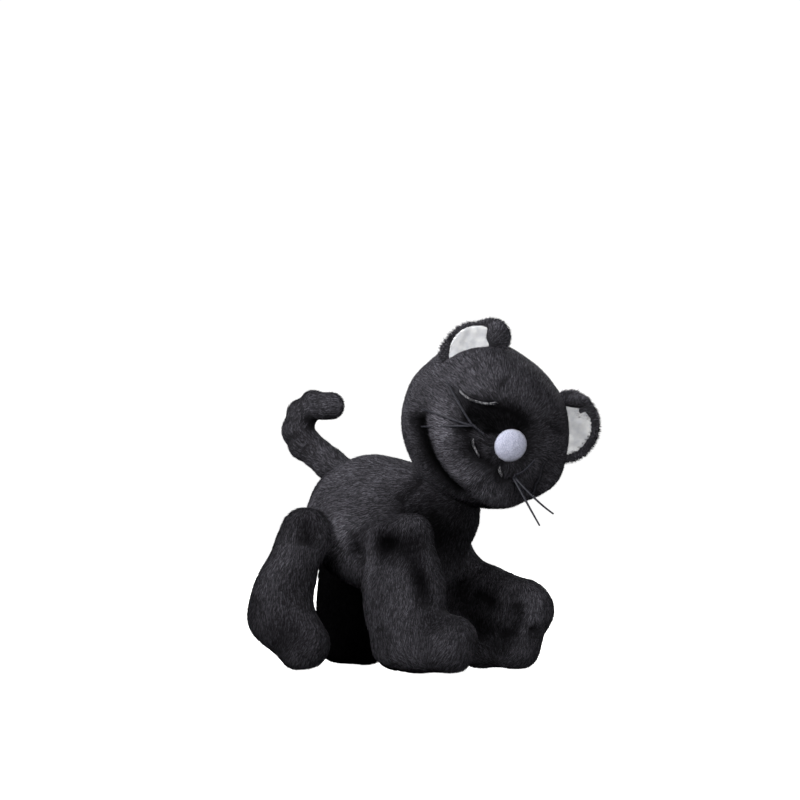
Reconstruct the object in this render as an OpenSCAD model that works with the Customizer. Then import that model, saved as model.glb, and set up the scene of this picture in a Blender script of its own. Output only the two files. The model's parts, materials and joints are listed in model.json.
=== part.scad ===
// A soft plush cat that stands on four big paws, with its head turned and tilted
// to its right. +X is the way the cat walks, +Y is its left and +Z is up. The
// origin is on the floor, under the middle of the cat.

/* [Head] */
// Radius of the stuffed head over its fabric
head_r = 54; // [50:0.5:55]
// How far the middle of the head lies ahead of the origin
head_x = 50; // [49:0.5:54]
// Height of the middle of the head above the floor
head_z = 164; // [164:0.5:170]
// Turn of the face to the cat's right, in degrees
head_turn = 43; // [20:1:50]
// Pitch of the nose below level, in degrees
head_pitch = 14.5; // [5:0.5:20]
// Tilt of the crown to the cat's left, in degrees
head_tilt = 37; // [20:1:40]
// Half width of the strip of fabric over the crown
crown_half_w = 20; // [16:1:24]
// Radius of the nose patch
nose_r = 11; // [9:0.5:12]
// How far the nose patch stands off the face
nose_thick = 3.5; // [2.5:0.5:5]
// Radius of the embroidery thread lines
stitch_r = 0.8; // [0.6:0.1:1.2]
// Radius of a whisker
whisker_r = 0.5; // [0.4:0.05:0.8]
// Length of a whisker
whisker_len = 40; // [30:1:45]

/* [Ears] */
// Radius of an ear's round outline
ear_r = 24; // [20:0.5:26]
// Lean of each ear from the top of the head, in degrees
ear_lean = 49; // [40:1:55]
// Thickness of the furry back of an ear
ear_thick = 5; // [4:0.5:6]
// Width of the furry rim round the pale lining
ear_rim = 6; // [4:0.5:8]

/* [Torso] */
// Radius of the rump
rump_r = 44; // [42:0.5:45]
// Radius of the chest
chest_r = 35; // [33:0.5:35.5]
// Half width across the flattened flanks, where the legs are sewn on
flank_half_w = 32; // [30:0.5:32]
// Height of the seam between the side panels and the belly panel
belly_seam_z = 74; // [66:1:80]
// Radius of the wad of stuffing in the neck
neck_r = 14; // [12:0.5:15]

/* [Legs] */
// Thickness of a leg across the cat
leg_thick = 29; // [26:0.5:30]
// Width of a paw across the cat
paw_w = 40; // [34:1:40]
// Thickness of the flat sole
sole_thick = 2.5; // [2:0.25:3]
// How far each paw flexes at the ankle either way, in degrees
ankle_flex = 20; // [5:1:25]

/* [Tail] */
// Radius of the tail over its fabric
tail_r = 10.5; // [9:0.25:11]

/* [Fabric] */
// Thickness of the plush fabric under its pile
skin = 2.5; // [1.5:0.25:3]

/* [Hidden] */
// Room between pieces of different bodies, and between a cover and its filling
gap = 0.4;
inner_gap = 0.2;
// Room left under an ear so that it can fold
ear_gap = 1.4;
lining_thick = 1.2;
// Where the chin panel meets the panel behind it, ahead of the middle of the head
chin_seam_x = 10;

// Middles of the head, the chest and the rump
head_c = [head_x, 0, head_z];
chest_c = [0, 0, 86];
rump_c = [-39, 0, 100];
// The neck lies half way between the head's surface and the chest's
neck_dir = (head_c - chest_c) / norm(head_c - chest_c);
neck_room = norm(head_c - chest_c) - head_r - chest_r;
neck_c = chest_c + neck_dir * (chest_r + neck_room / 2);

// Each leg, in the order side, [x, z, radius] at the top, [x, z, radius] at the
// ankle, [x, radius] at the heel, [x, radius] at the toes, top of the paw
FORE_RIGHT = [-1, [8, 82, 24], [14, 44, 25], [17, 18], [42, 18], 36];
FORE_LEFT = [1, [8, 82, 24], [22, 50, 22], [26, 18], [46, 20], 46];
HIND_RIGHT = [-1, [-65, 92, 17], [-79, 46, 22], [-82, 17], [-66, 17], 38];
HIND_LEFT = [1, [-65, 92, 17], [-79, 46, 20], [-88, 17], [-72, 17], 38];
// Middle of every leg across the cat, clear of the flank
leg_y = flank_half_w + gap + 0.2 + leg_thick / 2;

// The tail's three bends and its end, from the rump upwards
tail_root = [-66.5, 0, 141];
tail_bend = [-86, 0, 151];
tail_crook = [-94.5, 0, 171];
tail_end = [-71, 0, 177];
// Room that lets the middle stretch curl over the one below it
bend_room = 2.2;
// How much thinner a rod is than the ball at its end
rod_inset = 0.15;

// A box larger than the whole cat, for cutting halves
big = 400;

plush = [0.07, 0.07, 0.085];
plush_inner = [0.1, 0.1, 0.12];
pale = [0.93, 0.93, 0.94];
nose_grey = [0.66, 0.66, 0.76];
fibre = [0.9, 0.9, 0.87];
pellet_cloth = [0.75, 0.75, 0.72];
thread_black = [0.02, 0.02, 0.025];

// ---- Shapes that several pieces share ----

// Everything on one side of a plane through p, whose normal is along +X, +Y or +Z
module beyond(axis, p, way = 1) {
  shift = [for (i = [0:2]) i == axis ? p + way * big / 2 : 0];
  translate(shift) cube(big, center = true);
}

// Points a, b and every 10 degrees between, on a circle of radius r about [0, h]
function arc(r, h, a, b, step = 10) =
  let (n = ceil(abs(b - a) / step))
  [for (i = [0:n]) let (t = a + (b - a) * i / n) [r * cos(t), h + r * sin(t)]];

// An egg on the line from p to q: a ball of radius rp at p, one of radius rq at q
// and the cone that touches both
module egg(p, rp, q, rq) {
  d = q - p;
  len = norm(d);
  touch = asin((rp - rq) / len);
  profile = concat(arc(rp, 0, -90, touch), arc(rq, len, touch, 90));
  translate(p)
    rotate([0, acos(d.z / len), atan2(d.y, d.x)])
      rotate_extrude($fn = 64)
        polygon([for (c = profile) [max(c.x, 0), c.y]]);
}

// A straight round rod from p to q
module rod(p, q, r) {
  d = q - p;
  translate(p)
    rotate([0, acos(d.z / norm(d)), atan2(d.y, d.x)])
      cylinder(h = norm(d), r = r, $fn = 48);
}

module ball(c, r) {
  translate(c) sphere(r, $fn = 64);
}

// ---- Torso ----

module torso_form(grow) {
  intersection() {
    egg(rump_c, rump_r + grow, chest_c, chest_r + grow);
    cube([big, 2 * (flank_half_w + grow), big], center = true);
  }
}

module torso_sockets() {
  ball(neck_c, neck_r + gap);
  ball(tail_root, tail_r + gap);
}

module torso_skin() {
  difference() {
    torso_form(0);
    torso_form(-skin);
    torso_sockets();
  }
}

module torso_side(way) {
  color(plush)
    intersection() {
      torso_skin();
      beyond(1, 0, way);
      beyond(2, belly_seam_z);
    }
}

module torso_side_right() { torso_side(-1); }
module torso_side_left() { torso_side(1); }

module belly_panel() {
  color(plush_inner)
    intersection() {
      torso_skin();
      beyond(2, belly_seam_z, -1);
    }
}

module torso_stuffing() {
  color(fibre)
    difference() {
      torso_form(-skin - inner_gap);
      torso_sockets();
      beyond(2, belly_seam_z, -1);
    }
}

module belly_pellet_bag() {
  color(pellet_cloth)
    intersection() {
      torso_form(-skin - inner_gap);
      beyond(2, belly_seam_z - 2 * inner_gap, -1);
    }
}

module neck_stuffing() {
  color(fibre) ball(neck_c, neck_r);
}

// ---- Head, drawn with the face along +X and the crown along +Z ----

module in_head() {
  translate(head_c) rotate([-head_tilt, head_pitch, -head_turn]) children();
}

// A ball about the head's middle whose poles are at the cheeks
module head_ball(r, facets = 64) {
  rotate([90, 0, 0]) sphere(r, $fn = facets);
}

module head_panel() {
  color(plush)
    difference() {
      in_head()
        intersection() {
          difference() {
            head_ball(head_r);
            head_ball(head_r - skin);
          }
          children();
        }
      ball(neck_c, neck_r + gap);
    }
}

module crown_strip() {
  cube([big, 2 * crown_half_w, big], center = true);
}

module crown_panel() {
  head_panel() intersection() { crown_strip(); beyond(2, 0); }
}
module nape_panel() {
  head_panel()
    intersection() { crown_strip(); beyond(2, 0, -1); beyond(0, chin_seam_x, -1); }
}
module chin_panel() {
  head_panel()
    intersection() { crown_strip(); beyond(2, 0, -1); beyond(0, chin_seam_x); }
}
module cheek_right() { head_panel() beyond(1, -crown_half_w, -1); }
module cheek_left() { head_panel() beyond(1, crown_half_w); }

module head_stuffing() {
  color(fibre)
    difference() {
      ball(head_c, head_r - skin - inner_gap);
      ball(neck_c, neck_r + gap);
    }
}

// A rounded triangle, point down, on the front of the face
module nose() {
  corner = nose_r * 0.8;
  seat = head_r - nose_thick;
  color(nose_grey)
    in_head()
      difference() {
        translate([seat, 0, 0])
          rotate([0, 90, 0])
            linear_extrude(2 * nose_thick)
              hull() {
                for (way = [-1, 1])
                  translate([corner - nose_r, way * (nose_r - corner)])
                    circle(corner, $fn = 48);
                translate([nose_r - corner, 0]) circle(corner, $fn = 48);
              }
        head_ball(head_r, 240);
      }
}

// A stitched line that lies on the head: part of a circle of angular radius
// spread about the direction [azimuth, elevation], from angle a to angle b
module stitch_arc(azimuth, elevation, spread, a, b) {
  r = head_r + stitch_r;
  rotate([0, 90 - elevation, azimuth])
    rotate([0, 0, a])
      translate([0, 0, r * cos(spread)])
        rotate_extrude(angle = b - a, $fn = 96)
          translate([r * sin(spread), 0]) circle(stitch_r, $fn = 16);
}

module closed_eye() {
  stitch_arc(-56.5, 41, 36, 8, 58);
}

module eye_right() { color(thread_black) in_head() closed_eye(); }
module eye_left() {
  color(thread_black) in_head() mirror([0, 1, 0]) closed_eye();
}

module mouth() {
  color(thread_black)
    in_head()
      for (way = [-1, 1])
        stitch_arc(way * 10.5, -7.5, 14.5, -36, 36);
}

// Three whiskers that leave the cheek along its surface and spread
module whiskers() {
  for (fan = [-28, 2, 26])
    rotate([0, 10, -28])
      translate([head_r + whisker_r, 0, 0])
        rotate([90 + fan, 0, 0])
          cylinder(h = whisker_len, r = whisker_r, $fn = 24);
}

module whiskers_right() { color(thread_black) in_head() whiskers(); }
module whiskers_left() {
  color(thread_black) in_head() mirror([0, 1, 0]) whiskers();
}

// ---- Ears ----

// A round flap that stands on the head, from thickness front - thick to front
module ear_flap(way, r, front, thick) {
  ear_centre = head_r - 4;
  in_head()
    rotate([-way * ear_lean, 0, 0])
      difference() {
        translate([front - thick, 0, ear_centre])
          rotate([0, 90, 0]) cylinder(h = thick, r = r, $fn = 72);
        sphere(head_r + ear_gap, $fn = 64);
        beyond(2, 0, -1);
      }
}

module ear_back(way) { color(plush) ear_flap(way, ear_r, ear_thick / 2, ear_thick); }
module ear_lining(way) {
  color(pale)
    ear_flap(way, ear_r - ear_rim, ear_thick / 2 + lining_thick, lining_thick);
}

module ear_right_back() { ear_back(-1); }
module ear_right_lining() { ear_lining(-1); }
module ear_left_back() { ear_back(1); }
module ear_left_lining() { ear_lining(1); }

// ---- Legs ----

module lens(x, z, r, half_w) {
  translate([x, 0, z]) scale([1, half_w / r, 1]) sphere(r, $fn = 20);
}

module at_leg(leg) {
  translate([0, leg[0] * leg_y, 0]) children();
}

module leg_form(leg, grow) {
  half_w = leg_thick / 2 + grow;
  hull() {
    lens(leg[1][0], leg[1][1], leg[1][2] + grow, half_w);
    lens(leg[2][0], leg[2][1], leg[2][2] + grow, half_w);
  }
}

// What the upper leg sweeps as the paw flexes, seen from the side
module ankle_clearance(leg) {
  ankle = leg[2];
  rise = [leg[1][0] - ankle[0], leg[1][1] - ankle[1]];
  rotate([90, 0, 0])
    linear_extrude(big, center = true)
      translate([ankle[0], ankle[1]])
        hull() {
          circle(ankle[2] + gap, $fn = 48);
          for (angle = [-ankle_flex, 0, ankle_flex])
            rotate(angle) translate(rise) circle(leg[1][2] + gap, $fn = 48);
        }
}

module leg_panel(leg, way) {
  color(plush)
    at_leg(leg)
      intersection() {
        difference() {
          leg_form(leg, 0);
          leg_form(leg, -skin);
        }
        beyond(1, 0, way);
      }
}

module leg_stuffing(leg) {
  color(fibre) at_leg(leg) leg_form(leg, -skin - inner_gap);
}

// The paw, heel to toes, as a rounded form whose widest level is above the floor
module paw_form(leg, grow) {
  top = leg[5];
  half_w = paw_w / 2 + grow;
  widest_z = top * 0.4;
  rise = (top - widest_z) + grow;
  hull()
    for (end = [leg[3], leg[4]])
      translate([end[0], 0, widest_z])
        scale([(end[1] + grow) / rise, half_w / rise, 1]) sphere(rise, $fn = 20);
}

module paw_cover(leg) {
  color(plush)
    at_leg(leg)
      difference() {
        paw_form(leg, 0);
        paw_form(leg, -skin);
        ankle_clearance(leg);
        beyond(2, sole_thick, -1);
      }
}

module paw_sole(leg) {
  color(plush_inner)
    at_leg(leg)
      intersection() {
        paw_form(leg, 0);
        translate([0, 0, sole_thick / 2]) cube([big, big, sole_thick], center = true);
      }
}

module paw_pellets(leg) {
  color(pellet_cloth)
    at_leg(leg)
      difference() {
        paw_form(leg, -skin - inner_gap);
        ankle_clearance(leg);
        beyond(2, sole_thick + inner_gap, -1);
      }
}

module fore_right_leg_outer() { leg_panel(FORE_RIGHT, -1); }
module fore_right_leg_inner() { leg_panel(FORE_RIGHT, 1); }
module fore_right_leg_stuffing() { leg_stuffing(FORE_RIGHT); }
module fore_right_paw_cover() { paw_cover(FORE_RIGHT); }
module fore_right_paw_sole() { paw_sole(FORE_RIGHT); }
module fore_right_paw_pellets() { paw_pellets(FORE_RIGHT); }

module fore_left_leg_outer() { leg_panel(FORE_LEFT, 1); }
module fore_left_leg_inner() { leg_panel(FORE_LEFT, -1); }
module fore_left_leg_stuffing() { leg_stuffing(FORE_LEFT); }
module fore_left_paw_cover() { paw_cover(FORE_LEFT); }
module fore_left_paw_sole() { paw_sole(FORE_LEFT); }
module fore_left_paw_pellets() { paw_pellets(FORE_LEFT); }

module hind_right_leg_outer() { leg_panel(HIND_RIGHT, -1); }
module hind_right_leg_inner() { leg_panel(HIND_RIGHT, 1); }
module hind_right_leg_stuffing() { leg_stuffing(HIND_RIGHT); }
module hind_right_paw_cover() { paw_cover(HIND_RIGHT); }
module hind_right_paw_sole() { paw_sole(HIND_RIGHT); }
module hind_right_paw_pellets() { paw_pellets(HIND_RIGHT); }

module hind_left_leg_outer() { leg_panel(HIND_LEFT, 1); }
module hind_left_leg_inner() { leg_panel(HIND_LEFT, -1); }
module hind_left_leg_stuffing() { leg_stuffing(HIND_LEFT); }
module hind_left_paw_cover() { paw_cover(HIND_LEFT); }
module hind_left_paw_sole() { paw_sole(HIND_LEFT); }
module hind_left_paw_pellets() { paw_pellets(HIND_LEFT); }

// ---- Tail ----

// One stretch of the tail, round at its far end and at its root
module tail_form(p, q, r) {
  egg(p, r, q, r - 0.01);
}

module tail_cover(p, q) {
  color(plush)
    difference() {
      tail_form(p, q, tail_r);
      tail_form(p, q, tail_r - skin);
      children();
    }
}

module tail_stuffing(p, q) {
  color(fibre)
    difference() {
      tail_form(p, q, tail_r - skin - inner_gap);
      children();
    }
}

// What the stretch below a bend may reach as the one above it curls
module below_bend() {
  ball(tail_bend, tail_r + bend_room);
}

module below_crook() {
  ball(tail_crook, tail_r + gap);
  rod(tail_bend, tail_crook, tail_r + gap - rod_inset);
}

module tail_base_cover() { tail_cover(tail_root, tail_bend); }
module tail_base_stuffing() { tail_stuffing(tail_root, tail_bend); }
module tail_middle_cover() { tail_cover(tail_bend, tail_crook) below_bend(); }
module tail_middle_stuffing() { tail_stuffing(tail_bend, tail_crook) below_bend(); }
module tail_tip_cover() { tail_cover(tail_crook, tail_end) below_crook(); }
module tail_tip_stuffing() { tail_stuffing(tail_crook, tail_end) below_crook(); }

// ---- The nodes ----

torso_side_right();
torso_side_left();
belly_panel();
torso_stuffing();
belly_pellet_bag();
neck_stuffing();
crown_panel();
nape_panel();
chin_panel();
cheek_right();
cheek_left();
head_stuffing();
nose();
eye_right();
eye_left();
mouth();
whiskers_right();
whiskers_left();
ear_right_back();
ear_right_lining();
ear_left_back();
ear_left_lining();
fore_right_leg_outer();
fore_right_leg_inner();
fore_right_leg_stuffing();
fore_right_paw_cover();
fore_right_paw_sole();
fore_right_paw_pellets();
fore_left_leg_outer();
fore_left_leg_inner();
fore_left_leg_stuffing();
fore_left_paw_cover();
fore_left_paw_sole();
fore_left_paw_pellets();
hind_right_leg_outer();
hind_right_leg_inner();
hind_right_leg_stuffing();
hind_right_paw_cover();
hind_right_paw_sole();
hind_right_paw_pellets();
hind_left_leg_outer();
hind_left_leg_inner();
hind_left_leg_stuffing();
hind_left_paw_cover();
hind_left_paw_sole();
hind_left_paw_pellets();
tail_base_cover();
tail_base_stuffing();
tail_middle_cover();
tail_middle_stuffing();
tail_tip_cover();
tail_tip_stuffing();
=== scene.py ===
"""A soft black plush cat, standing with its head turned and tilted. Metres outside, mm inside."""

import json
import math

import bmesh
import bpy
import numpy as np
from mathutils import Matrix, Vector


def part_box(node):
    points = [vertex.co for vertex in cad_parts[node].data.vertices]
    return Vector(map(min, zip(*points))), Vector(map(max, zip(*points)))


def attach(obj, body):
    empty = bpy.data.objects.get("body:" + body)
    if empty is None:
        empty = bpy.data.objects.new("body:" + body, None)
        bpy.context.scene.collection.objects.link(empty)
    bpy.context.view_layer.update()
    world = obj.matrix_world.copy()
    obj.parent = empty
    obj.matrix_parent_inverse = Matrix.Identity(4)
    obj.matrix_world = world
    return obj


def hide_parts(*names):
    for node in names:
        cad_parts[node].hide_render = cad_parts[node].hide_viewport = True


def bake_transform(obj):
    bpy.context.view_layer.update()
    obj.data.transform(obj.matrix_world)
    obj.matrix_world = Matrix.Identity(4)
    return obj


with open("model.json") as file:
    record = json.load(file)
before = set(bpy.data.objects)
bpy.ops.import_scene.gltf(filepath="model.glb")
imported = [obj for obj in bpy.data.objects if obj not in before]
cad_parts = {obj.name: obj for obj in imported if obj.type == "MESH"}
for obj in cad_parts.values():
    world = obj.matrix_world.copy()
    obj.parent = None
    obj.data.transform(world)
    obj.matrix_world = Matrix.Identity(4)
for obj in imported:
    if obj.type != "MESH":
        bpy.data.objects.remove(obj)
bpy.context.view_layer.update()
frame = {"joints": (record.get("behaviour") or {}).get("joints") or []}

MM = 0.001
SEED = 11

# Sizes of the fabric, in mm
SKIN = 1.4
NET_STEP = 1.9
EAR_STEP = 0.8
NOSE_STEP = 0.6
PILE_DENSITY = 3.4
PILE_WIDTH = 0.44
PILE_DEPTH = 0.3
PILE_LEN = 4.4
PILE_RISE = 9.0
ROOT_DEPTH = 0.3

# How close the soles, the strands and their tips come to the floor, in mm
FLOOR_GAP = 0.3
STRAND_GAP = 0.05
TIP_GAP = 0.1

# How light the pile of each part is painted beside the torso's, which is painted shade, and the limits of
# all painted shade and painted highlights
HEAD_PAINTED_LIGHT = 0.85
LEG_PAINTED_LIGHT = 0.62
TAIL_PAINTED_LIGHT = 0.75
COLLAR_PAINTED_LIGHT = 0.3
PAINTED_LIGHT_LIMITS = (0.05, 1.7)

# How much wider than its fold a mark's shade is
SHADE_REACH = 1.6

# The low waves in each skin: height and size, in mm
WAVES = {
    "torso": (0.8, 42),
    "head": (0.4, 38),
    "leg": (0.7, 34),
    "tail": (0.3, 20),
    "ear": (0.25, 14),
    "collar": (0.8, 16),
}

# Where the panels are sewn together, in mm
BELLY_SEAM = 74
SOLE_SEAM = 2.5
HEAD_STRIP = 20
CHIN_FRONT = 10

# Where the cat's parts lie, in mm, read from the frame
JOINTS = {j["name"]: np.array(j["pos_m"]) / MM for j in frame["joints"]}
LEG_Y = abs(float(JOINTS["fore_right_shoulder"][1]))
HEAD_TURN = -43.0
HEAD_PITCH = 14.5
HEAD_TILT = -37.0
EAR_LEAN = 49.0


def turn_x(degrees):
    a = math.radians(degrees)
    c, s = math.cos(a), math.sin(a)
    return np.array([[1, 0, 0], [0, c, -s], [0, s, c]])


def turn_y(degrees):
    a = math.radians(degrees)
    c, s = math.cos(a), math.sin(a)
    return np.array([[c, 0, s], [0, 1, 0], [-s, 0, c]])


def turn_z(degrees):
    a = math.radians(degrees)
    c, s = math.cos(a), math.sin(a)
    return np.array([[c, -s, 0], [s, c, 0], [0, 0, 1]])


# The plush sags a little off the middle of the head's stuffing
HEAD_SAG = np.array([-0.4, -0.2, 0.2])


def head_middle():
    low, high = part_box("head_stuffing")
    return (np.array(low) + np.array(high)) / (2 * MM) + HEAD_SAG


HEAD_C = head_middle()
HEAD = turn_z(HEAD_TURN) @ turn_y(HEAD_PITCH) @ turn_x(HEAD_TILT)
HEAD_RADII = np.array([53.6, 55.6, 53.8])


def to_head(points):
    return (points - HEAD_C) @ HEAD


def from_head(points):
    return np.asarray(points, float) @ HEAD.T + HEAD_C


# ---------------------------------------------------------------- distance fields


def ball(p, middle, radii):
    """Rough distance to an ellipsoid."""
    q = p - np.asarray(middle, float)
    r = np.asarray(radii, float)
    k0 = np.linalg.norm(q / r, axis=1)
    k1 = np.linalg.norm(q / (r * r), axis=1) + 1e-9
    return k0 * (k0 - 1.0) / k1


def limb(p, a, ra, b, rb, y, half_a, half_b):
    """Distance to a flattened round cone from a to b, which are (x, z), about the plane y."""
    a3 = np.array([a[0], y, a[1]], float)
    b3 = np.array([b[0], y, b[1]], float)
    along = b3 - a3
    t = np.clip(((p - a3) @ along) / (along @ along), 0, 1)
    radius = ra + (rb - ra) * t
    half = half_a + (half_b - half_a) * t
    q = p - (a3 + t[:, None] * along)
    q[:, 1] *= radius / half
    return (np.linalg.norm(q, axis=1) - radius) * np.minimum(1.0, half / radius)


def to_segment(p, a, b):
    """Distance to the line from a to b, and how far along it the nearest place is, 0 to 1."""
    t = np.clip(((p - a) @ (b - a)) / ((b - a) @ (b - a)), 0, 1)
    return np.linalg.norm(p - (a + t[:, None] * (b - a)), axis=1), t


def rod(p, a, b, ra, rb):
    """Distance to a round rod from a to b."""
    d, t = to_segment(p, a, b)
    return d - (ra + (rb - ra) * t)


def join(d, e, k):
    """Smooth union of two distances."""
    h = np.clip(0.5 + 0.5 * (e - d) / k, 0, 1)
    return e + (d - e) * h - k * h * (1 - h)


def cut(d, e, k):
    """Smooth overlap of two distances."""
    return -join(-d, -e, k)


def gradient(field, p, step=0.25):
    out = np.empty_like(p)
    for axis in range(3):
        shift = np.zeros(3)
        shift[axis] = step
        out[:, axis] = field(p + shift) - field(p - shift)
    return out / (2 * step)


def unit(v):
    return v / (np.linalg.norm(v, axis=-1, keepdims=True) + 1e-9)


def surface_net(field, low, high, step):
    """A closed mesh of quads where the field is zero."""
    axes = [np.arange(low[k], high[k] + step, step) for k in range(3)]
    grid = np.stack(np.meshgrid(*axes, indexing="ij"), -1)
    inside = field(grid.reshape(-1, 3)).reshape(grid.shape[:3]) < 0
    nx, ny, nz = inside.shape
    total = np.zeros((nx - 1, ny - 1, nz - 1), int)
    for i in (0, 1):
        for j in (0, 1):
            for k in (0, 1):
                total += inside[i : nx - 1 + i, j : ny - 1 + j, k : nz - 1 + k]
    mixed = (total > 0) & (total < 8)
    index = -np.ones(mixed.shape, int)
    index[mixed] = np.arange(mixed.sum())
    verts = np.array([a[0] for a in axes]) + (np.argwhere(mixed) + 0.5) * step
    quads = []
    for axis in range(3):
        e = np.eye(3, dtype=int)
        one, two = e[(axis + 1) % 3], e[(axis + 2) % 3]
        first = np.take(inside, range(inside.shape[axis] - 1), axis)
        second = np.take(inside, range(1, inside.shape[axis]), axis)
        for flip, change in ((False, first & ~second), (True, ~first & second)):
            g = np.argwhere(change)
            ring = [index[tuple((g - s).T)] for s in (0 * one, one, one + two, two)]
            q = np.stack(ring, 1)
            quads.append(q[:, ::-1] if flip else q)
    return verts, np.concatenate(quads)


def onto(field, p, rounds=4):
    """Moves the points onto the surface of the field."""
    for _ in range(rounds):
        g = gradient(field, p)
        step = np.clip(field(p) / (np.sum(g * g, axis=1) + 0.01), -2.0, 2.0)
        p = p - g * step[:, None]
    return p


def relaxed(field, verts, quads, rounds=3):
    """Evens out the mesh along its own surface."""
    a = quads.reshape(-1)
    b = np.roll(quads, -1, axis=1).reshape(-1)
    count = np.bincount(a, minlength=len(verts)) + np.bincount(b, minlength=len(verts))
    for _ in range(rounds):
        mean = np.zeros_like(verts)
        np.add.at(mean, a, verts[b])
        np.add.at(mean, b, verts[a])
        verts = verts + 0.5 * (mean / count[:, None] - verts)
        verts = onto(field, verts, 2)
    return verts


# ---------------------------------------------------------------- lumps and creases, and their painted shade


def waves(p, seed, size, terms=9):
    """Smooth seeded noise between about -1 and 1, of that size in mm."""
    rng = np.random.default_rng(seed)
    out = np.zeros(len(p))
    for _ in range(terms):
        k = unit(rng.normal(size=3)) * (2 * math.pi / size) * rng.uniform(0.7, 1.5)
        out += np.sin(p @ k + rng.uniform(0, 2 * math.pi))
    return out / math.sqrt(terms)


def swell(p, seed, part):
    """The low waves in the skin of a part, in mm."""
    height, size = WAVES[part]
    return height * waves(p, seed, size)


def distance_to_line(p, line):
    """Distance to a polyline of points, and how far along it the nearest place is, 0 to 1."""
    line = np.asarray(line, float)
    best = np.full(len(p), 1e9)
    place = np.zeros(len(p))
    parts = len(line) - 1
    for i in range(parts):
        d, t = to_segment(p, line[i], line[i + 1])
        near = d < best
        best = np.where(near, d, best)
        place = np.where(near, (i + t) / parts, place)
    return best, place


def fold(p, line, height, width):
    """Height of a ridge, or of a crease where height is negative, fading at both ends."""
    d, t = distance_to_line(p, line)
    fade = np.clip(np.minimum(t, 1 - t) * 6 + 0.35, 0, 1) if len(line) > 2 else 1.0
    return height * np.exp(-((d / width) ** 2)) * fade


def spot(x, y, z):
    """A line short enough to be a point."""
    return [(x, y, z), (x + 0.2, y, z)]


def height_of(p, marks):
    """Height in mm of all the folds and dents on a skin. A mark is (line, height, width, shade), where
    shade is painted shade, or a painted highlight where below 0.
    """
    return sum(fold(p, line, height, width) for line, height, width, _ in marks)


def painted_light_of(p, marks):
    """The painted light on the pile. A mark's shade is painted shade that darkens it there, or a painted
    highlight that lightens it where below 0.
    """
    tone = np.ones(len(p))
    for line, _, width, shade in marks:
        tone *= 1 - fold(p, line, shade, width * SHADE_REACH)
    return np.clip(tone, *PAINTED_LIGHT_LIMITS)


# ---------------------------------------------------------------- the four skins


# The torso: its rump, then belly, chest, back, breast and throat.
# Each is (middle, radii, how softly it joins the ones before it)
RUMP = ((-39, 0, 99.5), (46, 39, 44.5))
TORSO_LUMPS = [
    ((-20, 0, 86), (36, 33, 35), 10),
    ((-1, 0, 88), (32, 34, 35), 12),
    ((-8, 0, 111), (27, 26, 27), 12),
    ((16, 0, 108), (24, 24, 27), 12),
    ((26, -4, 124), (17, 20, 18), 10),
]
HEAD_SINK = 1.5
LEG_SWING_BACK = 15
LEG_ROOM = 1.6


def torso_field(p):
    d = ball(p, *RUMP)
    for middle, radii, soft in TORSO_LUMPS:
        d = join(d, ball(p, middle, radii), soft)
    return cut(d, -ball(to_head(p), (0, 0, 0), HEAD_RADII - HEAD_SINK), 3)


def leg_room(p, leg):
    """The room a fore leg takes at the far end of its swing back."""
    shoulder = JOINTS[leg + "_shoulder"]
    swung = (p - shoulder) @ turn_y(LEG_SWING_BACK) + shoulder
    return leg_field(leg)(swung) - LEG_ROOM


def dented_torso(p):
    """The torso with the hollows that the fore legs press into its sides."""
    d = torso_field(p)
    for leg in ("fore_right", "fore_left"):
        d = cut(d, -leg_room(p, leg), 4)
    return d


def on_head(azimuth, elevation, out=0.0):
    """A point on the head's fabric, in the head's own frame."""
    a, e = math.radians(azimuth), math.radians(elevation)
    d = np.array([math.cos(e) * math.cos(a), math.cos(e) * math.sin(a), math.sin(e)])
    return d * (1 / np.linalg.norm(d / HEAD_RADII) + out)


def head_line(*places):
    return [on_head(a, e) for a, e in places]


CHEEK_RIDGE = head_line(
    (-54, -8), (-54, -18), (-44, -27), (-33, -36), (-16, -44), (5, -45), (27, -39), (48, -31), (54, -20)
)
CHEEK_VALLEY = head_line((-72, -20), (-69, -28), (-51, -41), (-32, -49), (-9, -52), (15, -50))
BROW = head_line((-53, 5), (-41, 5), (-31, 10), (-24, 15), (-15, 19), (-3, 20), (6, 17))
HOLLOW = head_line((-42, -2), (-31, 1), (-20, 4), (-14, -4))
HOLLOW_SIDE = head_line((-33, -8), (-30, -13), (-25, -18), (-15, -22))
RIGHT_SEAM = head_line((20, 3), (31, -1), (44, -7), (51, -13))
EYE_RIGHT = head_line((-54, 8), (-50, 7), (-43, 8), (-36, 11), (-31, 14), (-28, 18))
EYE_LEFT = head_line((52, -16), (47, -13), (42, -9), (38, -4), (34, 1), (32, 6))
MOUTH = head_line((-23, -16), (-17, -19), (-12, -20), (-6, -19), (3, -17))
MOUTH_SIDE = head_line((5, -17), (10, -20), (17, -21), (19, -17), (20, -14))
SMALL_CREASE = head_line((18, 28), (28, 31), (37, 30))
FOREHEAD = head_line((-32, 24), (-33, 32), (-34, 39))
NOSE_AT = (-0.4, 0.8)
MOUTH_STITCHES = head_line((-24, -14), (-21, -17), (-17, -19), (-12, -20))
MOUTH_SIDE_STITCHES = head_line((5, -17), (8, -19), (12, -20))
WHISKERS_RIGHT_AT = (-29, -5)
WHISKERS_LEFT_AT = (20, -15)


def head_field(p):
    return ball(to_head(p), (0, 0, 0), HEAD_RADII)


# The last number of each mark is painted shade in its crease or hollow, or a painted highlight on its
# ridge where below 0
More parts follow.
